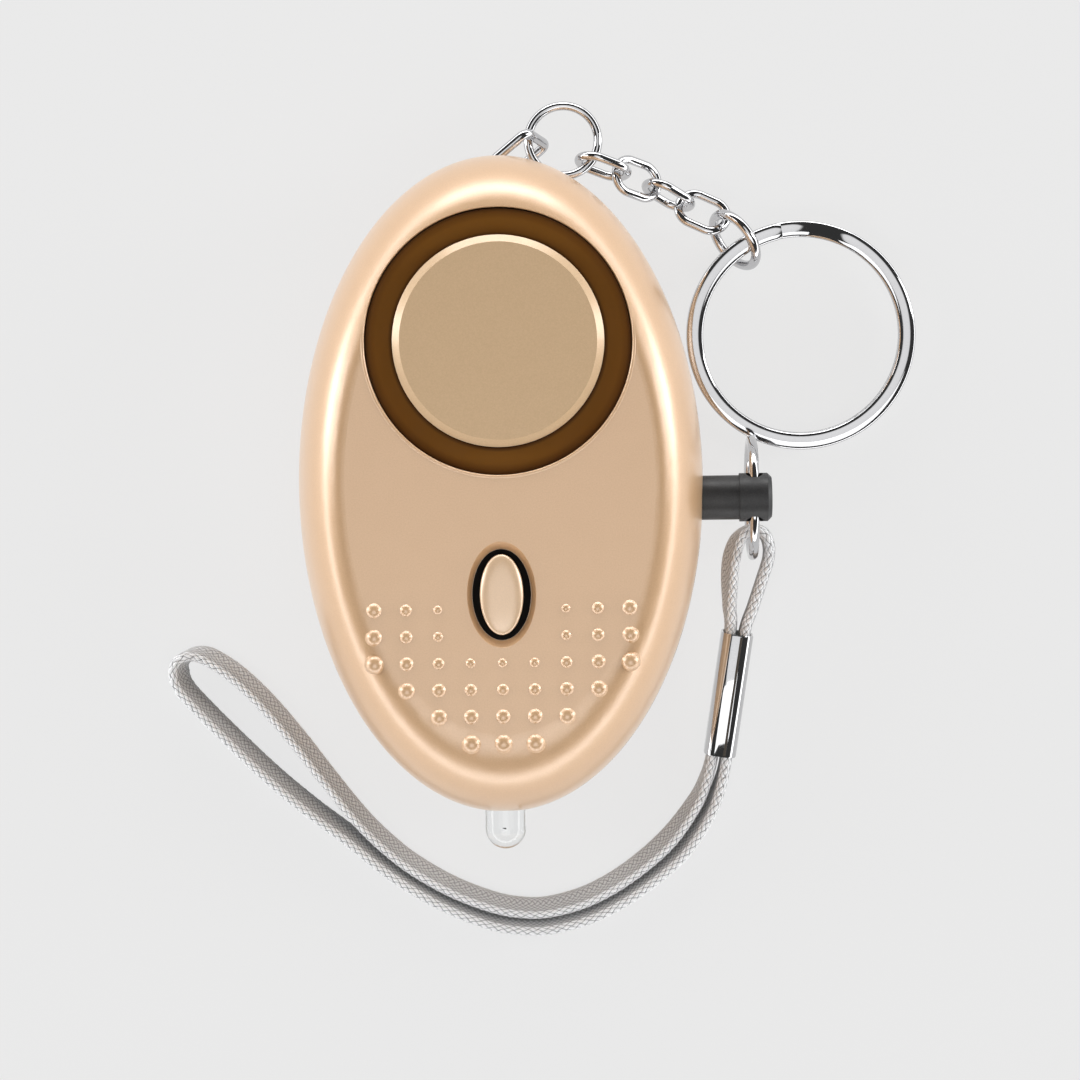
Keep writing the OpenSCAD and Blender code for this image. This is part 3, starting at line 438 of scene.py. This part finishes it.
# Chain, rings and bail: the solid's wire, drawn smooth
WIRE_SIDES = 20
LINK_WIRE = 0.9
RINGS = {
    "upper_ring": ((6.65, 34.3, 7.62), (0, 0, 0), 3.5, LINK_WIRE),
    "lower_ring": ((23.919, 24.434, 3.363), (-50, 8, 64), 3, 1),
}
LINKS = {
    "link_1": ((10.64, 31.76, 6.832), (-20, -18, 70)),
    "link_2": ((14.054, 30.599, 5.103), (-18, -30, -20)),
    "link_3": ((17.267, 29.05, 3.29), (-30, -25, 70)),
    "link_4": ((20.725, 27.309, 2.847), (-25, 4, -25)),
}
LINK_R, LINK_HALF = 1.75, 0.8
PIN_RING = ((25.1, -1.7, 7), 5.8, 1)
BAIL_LEFT, BAIL_RIGHT = Vector((3, 35, 10)), Vector((5, 34, 6.6))
BAIL_RUN = Vector((0.77, 0.64, 0)).normalized()
BAIL_LEG, BAIL_BEND, BAIL_WIRE, BAIL_STEPS = 9, 0.9, 1, 8


def make_wire(node, body, turn, outline, wire):
    """A closed wire bent to a flat outline."""
    verts = []
    for i, p in enumerate(outline):
        t = (outline[(i + 1) % len(outline)] - outline[i - 1]).normalized()
        for k in range(WIRE_SIDES):
            a = 2 * math.pi * k / WIRE_SIDES
            around = Vector((t.y * math.sin(a), -t.x * math.sin(a), math.cos(a)))
            verts.append(turn @ (p + wire / 2 * around))
    faces = tube_faces(len(outline), WIRE_SIDES, True)
    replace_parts(add_mesh(node + "_wire", verts, faces, body, chrome), node)


def oblong(r, half, count=96):
    """Two half circles, half apart on either side of the middle, and the straights between."""
    turns = [2 * math.pi * (i + 0.5) / count for i in range(count)]
    return [Vector((r * math.cos(t) + math.copysign(half, math.cos(t)), r * math.sin(t), 0)) for t in turns]


def make_bail():
    """A staple of wire with rounded corners, its legs in the casing."""
    cross = (BAIL_RIGHT - BAIL_LEFT).normalized()
    out = BAIL_RUN.cross(cross).normalized()
    path = [BAIL_LEFT - BAIL_RUN * BAIL_LEG]
    for corner, arrive, leave in ((BAIL_LEFT, BAIL_RUN, cross), (BAIL_RIGHT, cross, -BAIL_RUN)):
        for i in range(BAIL_STEPS + 1):
            t = i / BAIL_STEPS
            path.append(corner - arrive * BAIL_BEND * (1 - t) ** 2 + leave * BAIL_BEND * t * t)
    path.append(BAIL_RIGHT - BAIL_RUN * BAIL_LEG)
    verts = []
    for i, p in enumerate(path):
        t = (path[min(i + 1, len(path) - 1)] - path[max(i - 1, 0)]).normalized()
        for k in range(WIRE_SIDES):
            a = 2 * math.pi * k / WIRE_SIDES
            verts.append(p + BAIL_WIRE / 2 * (out * math.cos(a) + t.cross(out) * math.sin(a)))
    faces = [tuple(reversed(f)) for f in tube_faces(len(path), WIRE_SIDES)]
    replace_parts(add_mesh("bail_wire", verts, faces, "casing", chrome), "head_bail")


# Split ring: the solid's two turns of flattened wire, rounded
SPLIT_AT = (30.515, 14.762, 2.273)
SPLIT_LIE = (-55, -4, 4)
SPLIT_START = 150
SPLIT_R, SPLIT_W, SPLIT_T, SPLIT_GAP = 10.75, 1.7, 0.8, 0.46
SPLIT_TURN, SPLIT_STEP, SPLIT_END = (5, 680), 3, 0.8
SPLIT_RAMP = (325, 360)


def make_split_ring():
    """Two turns of wire that change level on a short ramp, with eased ends."""
    turn = lay(SPLIT_AT, SPLIT_LIE) @ Matrix.Rotation(math.radians(SPLIT_START), 4, "Z")
    verts, angles = [], list(range(SPLIT_TURN[0], SPLIT_TURN[1] + 1, SPLIT_STEP))
    for n, angle in enumerate(angles):
        u = max(0, min(1, (angle - SPLIT_RAMP[0]) / (SPLIT_RAMP[1] - SPLIT_RAMP[0])))
        level = (SPLIT_T + SPLIT_GAP) * (0.5 - u * u * (3 - 2 * u))
        shrink = SPLIT_END if n in (0, len(angles) - 1) else 1
        out = Vector((math.cos(math.radians(angle)), math.sin(math.radians(angle)), 0))
        for k in range(WIRE_SIDES):
            a = 2 * math.pi * (k + 0.5) / WIRE_SIDES
            verts.append(turn @ (out * (SPLIT_R + shrink * SPLIT_W / 2 * soft_corner(math.sin(a)))
                                 + Vector((0, 0, level + shrink * SPLIT_T / 2 * soft_corner(math.cos(a))))))
    faces = tube_faces(len(angles), WIRE_SIDES)
    ring = add_mesh("split_ring_wire", verts, faces, "split_ring", chrome)
    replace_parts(ring, "split_ring")


# Torch button with a smooth crown, a dark ring of painted shade in the gap round it, and the rounded
# lip of the siren opening
OUTLINE_SIDES, CROWN_STEPS = 72, 20
BUTTON_Y = -10.9
BUTTON_HALF = (2.1, 3.9)
BUTTON_EDGE, BUTTON_CROWN, BUTTON_SEAT, BUTTON_FLANGE = 22.1, 0.5, 20.35, 2
# Ring of painted shade in the button's gap: its half axes inside, outside and at the rim, and its heights
GAP_SHADE_IN, GAP_SHADE_OUT, GAP_SHADE_RIM = (2.15, 3.95), (2.5, 4.3), (2.85, 4.42)
GAP_SHADE_LOW, GAP_SHADE_LEDGE, GAP_SHADE_HIGH = 20.6, 21.36, 21.4
LIP_R, LIP_INSET, LIP_PROUD = 0.2, 0.1, 0.07


def button_ring(reach, z):
    """Points of the button's outline, with its long half axis set to reach."""
    turns = [2 * math.pi * k / OUTLINE_SIDES for k in range(OUTLINE_SIDES)]
    wide = reach * BUTTON_HALF[0] / BUTTON_HALF[1]
    return [Vector((wide * math.cos(t), BUTTON_Y + reach * math.sin(t), z)) for t in turns]


def make_button():
    """The flange inside the casing, the straight wall and the crown."""
    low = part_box("torch_button")[0][2] / MM
    reach = BUTTON_HALF[1]
    rings = [(reach + BUTTON_FLANGE, low), (reach + BUTTON_FLANGE, BUTTON_SEAT), (reach, BUTTON_SEAT)]
    for i in range(CROWN_STEPS):
        t = math.radians(90 * i / CROWN_STEPS)
        rings.append((reach * math.sqrt(math.cos(t)), BUTTON_EDGE + BUTTON_CROWN * math.sin(t)))
    verts = [p for ring in rings for p in button_ring(*ring)]
    faces = tube_faces(len(rings), OUTLINE_SIDES)
    button = add_mesh("button_crown", verts, faces, "torch_button", gold_button)
    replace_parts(button, "torch_button")


def make_gap_shade():
    """A dark ring of painted shade in the gap, with a thin rim that lies on the foot of the dish."""
    verts = []
    section = ((GAP_SHADE_IN, GAP_SHADE_LOW), (GAP_SHADE_OUT, GAP_SHADE_LOW), (GAP_SHADE_OUT, GAP_SHADE_LEDGE), (GAP_SHADE_RIM, GAP_SHADE_LEDGE),
               (GAP_SHADE_RIM, GAP_SHADE_HIGH), (GAP_SHADE_IN, GAP_SHADE_HIGH))
    for k in range(OUTLINE_SIDES):
        t = 2 * math.pi * k / OUTLINE_SIDES
        verts += [(half[0] * math.cos(t), BUTTON_Y + half[1] * math.sin(t), z) for half, z in section]
    faces = tube_faces(OUTLINE_SIDES, len(section), True)
    add_mesh("button_gap_shade", verts, faces, "casing", gap_shade_black)


def make_lip():
    """A fine bead that rounds the edge of the opening, as high as the shell is there."""
    sides, count, verts = 10, 180, []
    shell = NODES["front_shell"]
    for i in range(count):
        t = 2 * math.pi * i / count
        out = Vector((math.cos(t), math.sin(t), 0))
        at = Vector((0, SIREN_Y, 0)) + out * (CHANNEL[1] + LIP_INSET)
        over = metres(at + out * LIP_R) + Vector((0, 0, 1))
        surface = shell.ray_cast(over, (0, 0, -1))[1]
        at.z = surface.z / MM - LIP_R + LIP_PROUD
        for k in range(sides):
            a = 2 * math.pi * k / sides
            verts.append(at + LIP_R * (out * math.cos(a) + Vector((0, 0, math.sin(a)))))
    faces = [tuple(reversed(f)) for f in tube_faces(count, sides, True)]
    add_mesh("siren_lip", verts, faces, "casing", gold)


# Seam between the shells, broken at the pin, the lamp and the bail
SEAM_Z, SEAM_A, SEAM_B = 12, 20, 32.5
SEAM_R, SEAM_PROUD = 0.14, 0.04
SEAMS = {"seam_left": (90, 264), "seam_tail": (276, 350), "seam_right": (2, 83)}


def make_seam(name, start, stop):
    """A fine shadow line that follows the joint of the shells between two angles."""
    sides, count = 6, 90
    verts = []
    for i in range(count + 1):
        t = math.radians(start + (stop - start) * i / count)
        at = Vector((SEAM_A * math.cos(t), SEAM_B * math.sin(t), SEAM_Z))
        out = Vector((math.cos(t) / SEAM_A, math.sin(t) / SEAM_B, 0)).normalized()
        for k in range(sides):
            a = 2 * math.pi * k / sides
            around = out * math.sin(a) + Vector((0, 0, math.cos(a)))
            verts.append(at - out * (SEAM_R - SEAM_PROUD) + SEAM_R * around)
    add_mesh(name, verts, tube_faces(count + 1, sides), "casing", seam_shadow)


# Ferrule: its ends, and width, height and corner of its bore and its outside
FERRULE_LOW, FERRULE_HIGH = Vector((21.7, -27.6, 2.2)), Vector((23.6, -15.3, 3.8))
FERRULE_IN = (2.84, 3.5, 1.1)
FERRULE_OUT = (3.28, 3.94, 1.32)
FERRULE_SOFT = 0.12
CREASE_INSET = 0.15
CREASE = ((0.25, -0.05), (0.54, -0.05), (0.5, 0.015), (0.29, 0.015))
BAR_CORNER, BAR_STEP = 10, 10


def round_bar(width, height, r):
    """Points of a bar's section, its corners rounded."""
    out = []
    for i in range(4 * BAR_CORNER):
        corner, step = divmod(i, BAR_CORNER)
        a = math.radians(90 * corner + BAR_STEP * step)
        sx, sy = ((1, 1), (-1, 1), (-1, -1), (1, -1))[corner]
        out.append((sx * (width / 2 - r) + r * math.cos(a), sy * (height / 2 - r) + r * math.sin(a)))
    return out


def make_ferrule():
    """A rolled metal tube with a crowned top and softened ends, and the closed edge along it."""
    length = (FERRULE_HIGH - FERRULE_LOW).length
    run = (FERRULE_HIGH - FERRULE_LOW) / length
    side = run.cross(Vector((0, 0, 1))).normalized()
    up = side.cross(run)
    trim = tuple(v - FERRULE_SOFT for v in FERRULE_OUT)
    bars = ((0, FERRULE_IN), (0, trim), (FERRULE_SOFT, FERRULE_OUT), (length - FERRULE_SOFT, FERRULE_OUT),
            (length, trim), (length, FERRULE_IN))
    verts = [FERRULE_LOW + run * d + side * x + up * y for d, bar in bars for x, y in round_bar(*bar)]
    faces = [tuple(reversed(f)) for f in tube_faces(len(bars), 4 * BAR_CORNER, True)]
    tube = add_mesh("ferrule_tube", verts, faces, "strap", chrome)
    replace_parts(tube, "strap_ferrule")
    top = FERRULE_OUT[1] / 2
    # The dark strip along the top is painted shadow, standing for the shade in the tube's closed edge
    ends = (FERRULE_LOW + CREASE_INSET * run, FERRULE_HIGH - CREASE_INSET * run)
    verts = [at + side * w + up * (top + h) for at in ends for w, h in CREASE]
    faces = [tuple(reversed(f)) for f in tube_faces(len(ends), len(CREASE))]
    add_mesh("ferrule_seam", verts, faces, "strap", seam_shadow)
    return tube


for ring_node, (ring_at, ring_lie, ring_r, ring_wire) in RINGS.items():
    make_wire(ring_node, ring_node, lay(ring_at, ring_lie), oblong(ring_r, 0), ring_wire)
for link_node, (link_at, link_lie) in LINKS.items():
    make_wire(link_node, link_node, lay(link_at, link_lie), oblong(LINK_R, LINK_HALF), LINK_WIRE)
make_wire("pin_ring", "pull_pin", Matrix.Translation(PIN_RING[0]) @ Matrix.Rotation(math.pi / 2, 4, "Y"),
          oblong(PIN_RING[1], 0), PIN_RING[2])
make_bail()
make_split_ring()
make_button()
make_gap_shade()
make_lip()
for seam_name, seam_span in SEAMS.items():
    make_seam(seam_name, *seam_span)
make_strap()
dress_nodes()


# Floor, lamps and surroundings
FLOOR_GREY, FLOOR_SHADED = 0.847, 0.8
FLOOR_PLAIN = 0.85
FLOOR_HALF, FLOOR_Z = 2000, -0.05


def make_floor():
    """A pale floor: mostly a plain grey to the camera and to mirrors, a white one to the lamps."""
    mesh = bpy.data.meshes.new("floor")
    signs = ((-1, -1), (1, -1), (1, 1), (-1, 1))
    corners = [(x * FLOOR_HALF, y * FLOOR_HALF, FLOOR_Z) for x, y in signs]
    mesh.from_pydata([metres(c) for c in corners], [], [(0, 1, 2, 3)])
    floor = bpy.data.objects.new("floor", mesh)
    bpy.context.scene.collection.objects.link(floor)
    m = bpy.data.materials.new("floor")
    m.use_nodes = True
    nodes, links = m.node_tree.nodes, m.node_tree.links
    nodes.remove(nodes["Principled BSDF"])
    light = nodes.new("ShaderNodeLightPath")
    camera, mirror = light.outputs["Is Camera Ray"], light.outputs["Is Glossy Ray"]
    seen = math_node(nodes, links, "MAXIMUM", camera, mirror)
    seen = math_node(nodes, links, "MAXIMUM", seen, light.outputs["Is Transmission Ray"])
    diffuse = nodes.new("ShaderNodeBsdfDiffuse")
    diffuse.inputs["Color"].default_value = (FLOOR_SHADED, FLOOR_SHADED, FLOOR_SHADED, 1)
    plain = nodes.new("ShaderNodeEmission")
    plain.inputs["Color"].default_value = (FLOOR_GREY, FLOOR_GREY, FLOOR_GREY, 1)
    mix = nodes.new("ShaderNodeMixShader")
    links.new(math_node(nodes, links, "MULTIPLY", seen, FLOOR_PLAIN), mix.inputs["Fac"])
    links.new(diffuse.outputs[0], mix.inputs[1])
    links.new(plain.outputs[0], mix.inputs[2])
    links.new(mix.outputs[0], nodes["Material Output"].inputs["Surface"])
    mesh.materials.append(m)


# Brightness of the surroundings by the sine of the height above the horizon
SKY = [
    (0.0, 0.02), (0.015, 0.03), (0.03, 3.9), (0.2, 3.9), (0.3, 0.3), (0.4, 0.05),
    (0.95, 0.05), (0.97, 1.1), (1.0, 1.2),
]


def make_world():
    """A plain studio: a bright wall all round, a dark ceiling and one soft light straight above."""
    world = bpy.data.worlds.new("studio")
    bpy.context.scene.world = world
    world.use_nodes = True
    nodes, links = world.node_tree.nodes, world.node_tree.links
    coord = nodes.new("ShaderNodeTexCoord")
    split = nodes.new("ShaderNodeSeparateXYZ")
    links.new(coord.outputs["Generated"], split.inputs[0])
    node = nodes.new("ShaderNodeValToRGB")
    stops = node.color_ramp.elements
    while len(stops) < len(SKY):
        stops.new(0.5)
    for stop, (place, value) in zip(stops, SKY):
        stop.position = place
        stop.color = (value, value, value, 1)
    links.new(split.outputs["Z"], node.inputs["Fac"])
    links.new(node.outputs["Color"], nodes["Background"].inputs["Color"])

# Lamps: place, the point they face, width and height, and power in watts
LAMPS = {
    "lamp_left": ((-430, 100, 130), (0, 0, 10), (120, 460), 0.85),
    "lamp_right": ((430, 100, 130), (0, 0, 10), (120, 460), 0.85),
    "lamp_head": ((0, 450, 120), (0, 0, 10), (460, 120), 0.7),
    "lamp_tail": ((0, -180, 360), (0, -20, 10), (340, 200), 0.4),
}


def make_lamp(name, at, look_at, size, power):
    data = bpy.data.lights.new(name, "AREA")
    data.shape = "RECTANGLE"
    data.size, data.size_y = size[0] * MM, size[1] * MM
    data.energy = power
    lamp = bpy.data.objects.new(name, data)
    lamp.location = metres(at)
    lamp.rotation_euler = (metres(look_at) - metres(at)).to_track_quat("-Z", "Y").to_euler()
    bpy.context.scene.collection.objects.link(lamp)


make_floor()
make_world()
for lamp_name, lamp in LAMPS.items():
    make_lamp(lamp_name, *lamp)

bpy.context.scene.view_settings.view_transform = "Standard"
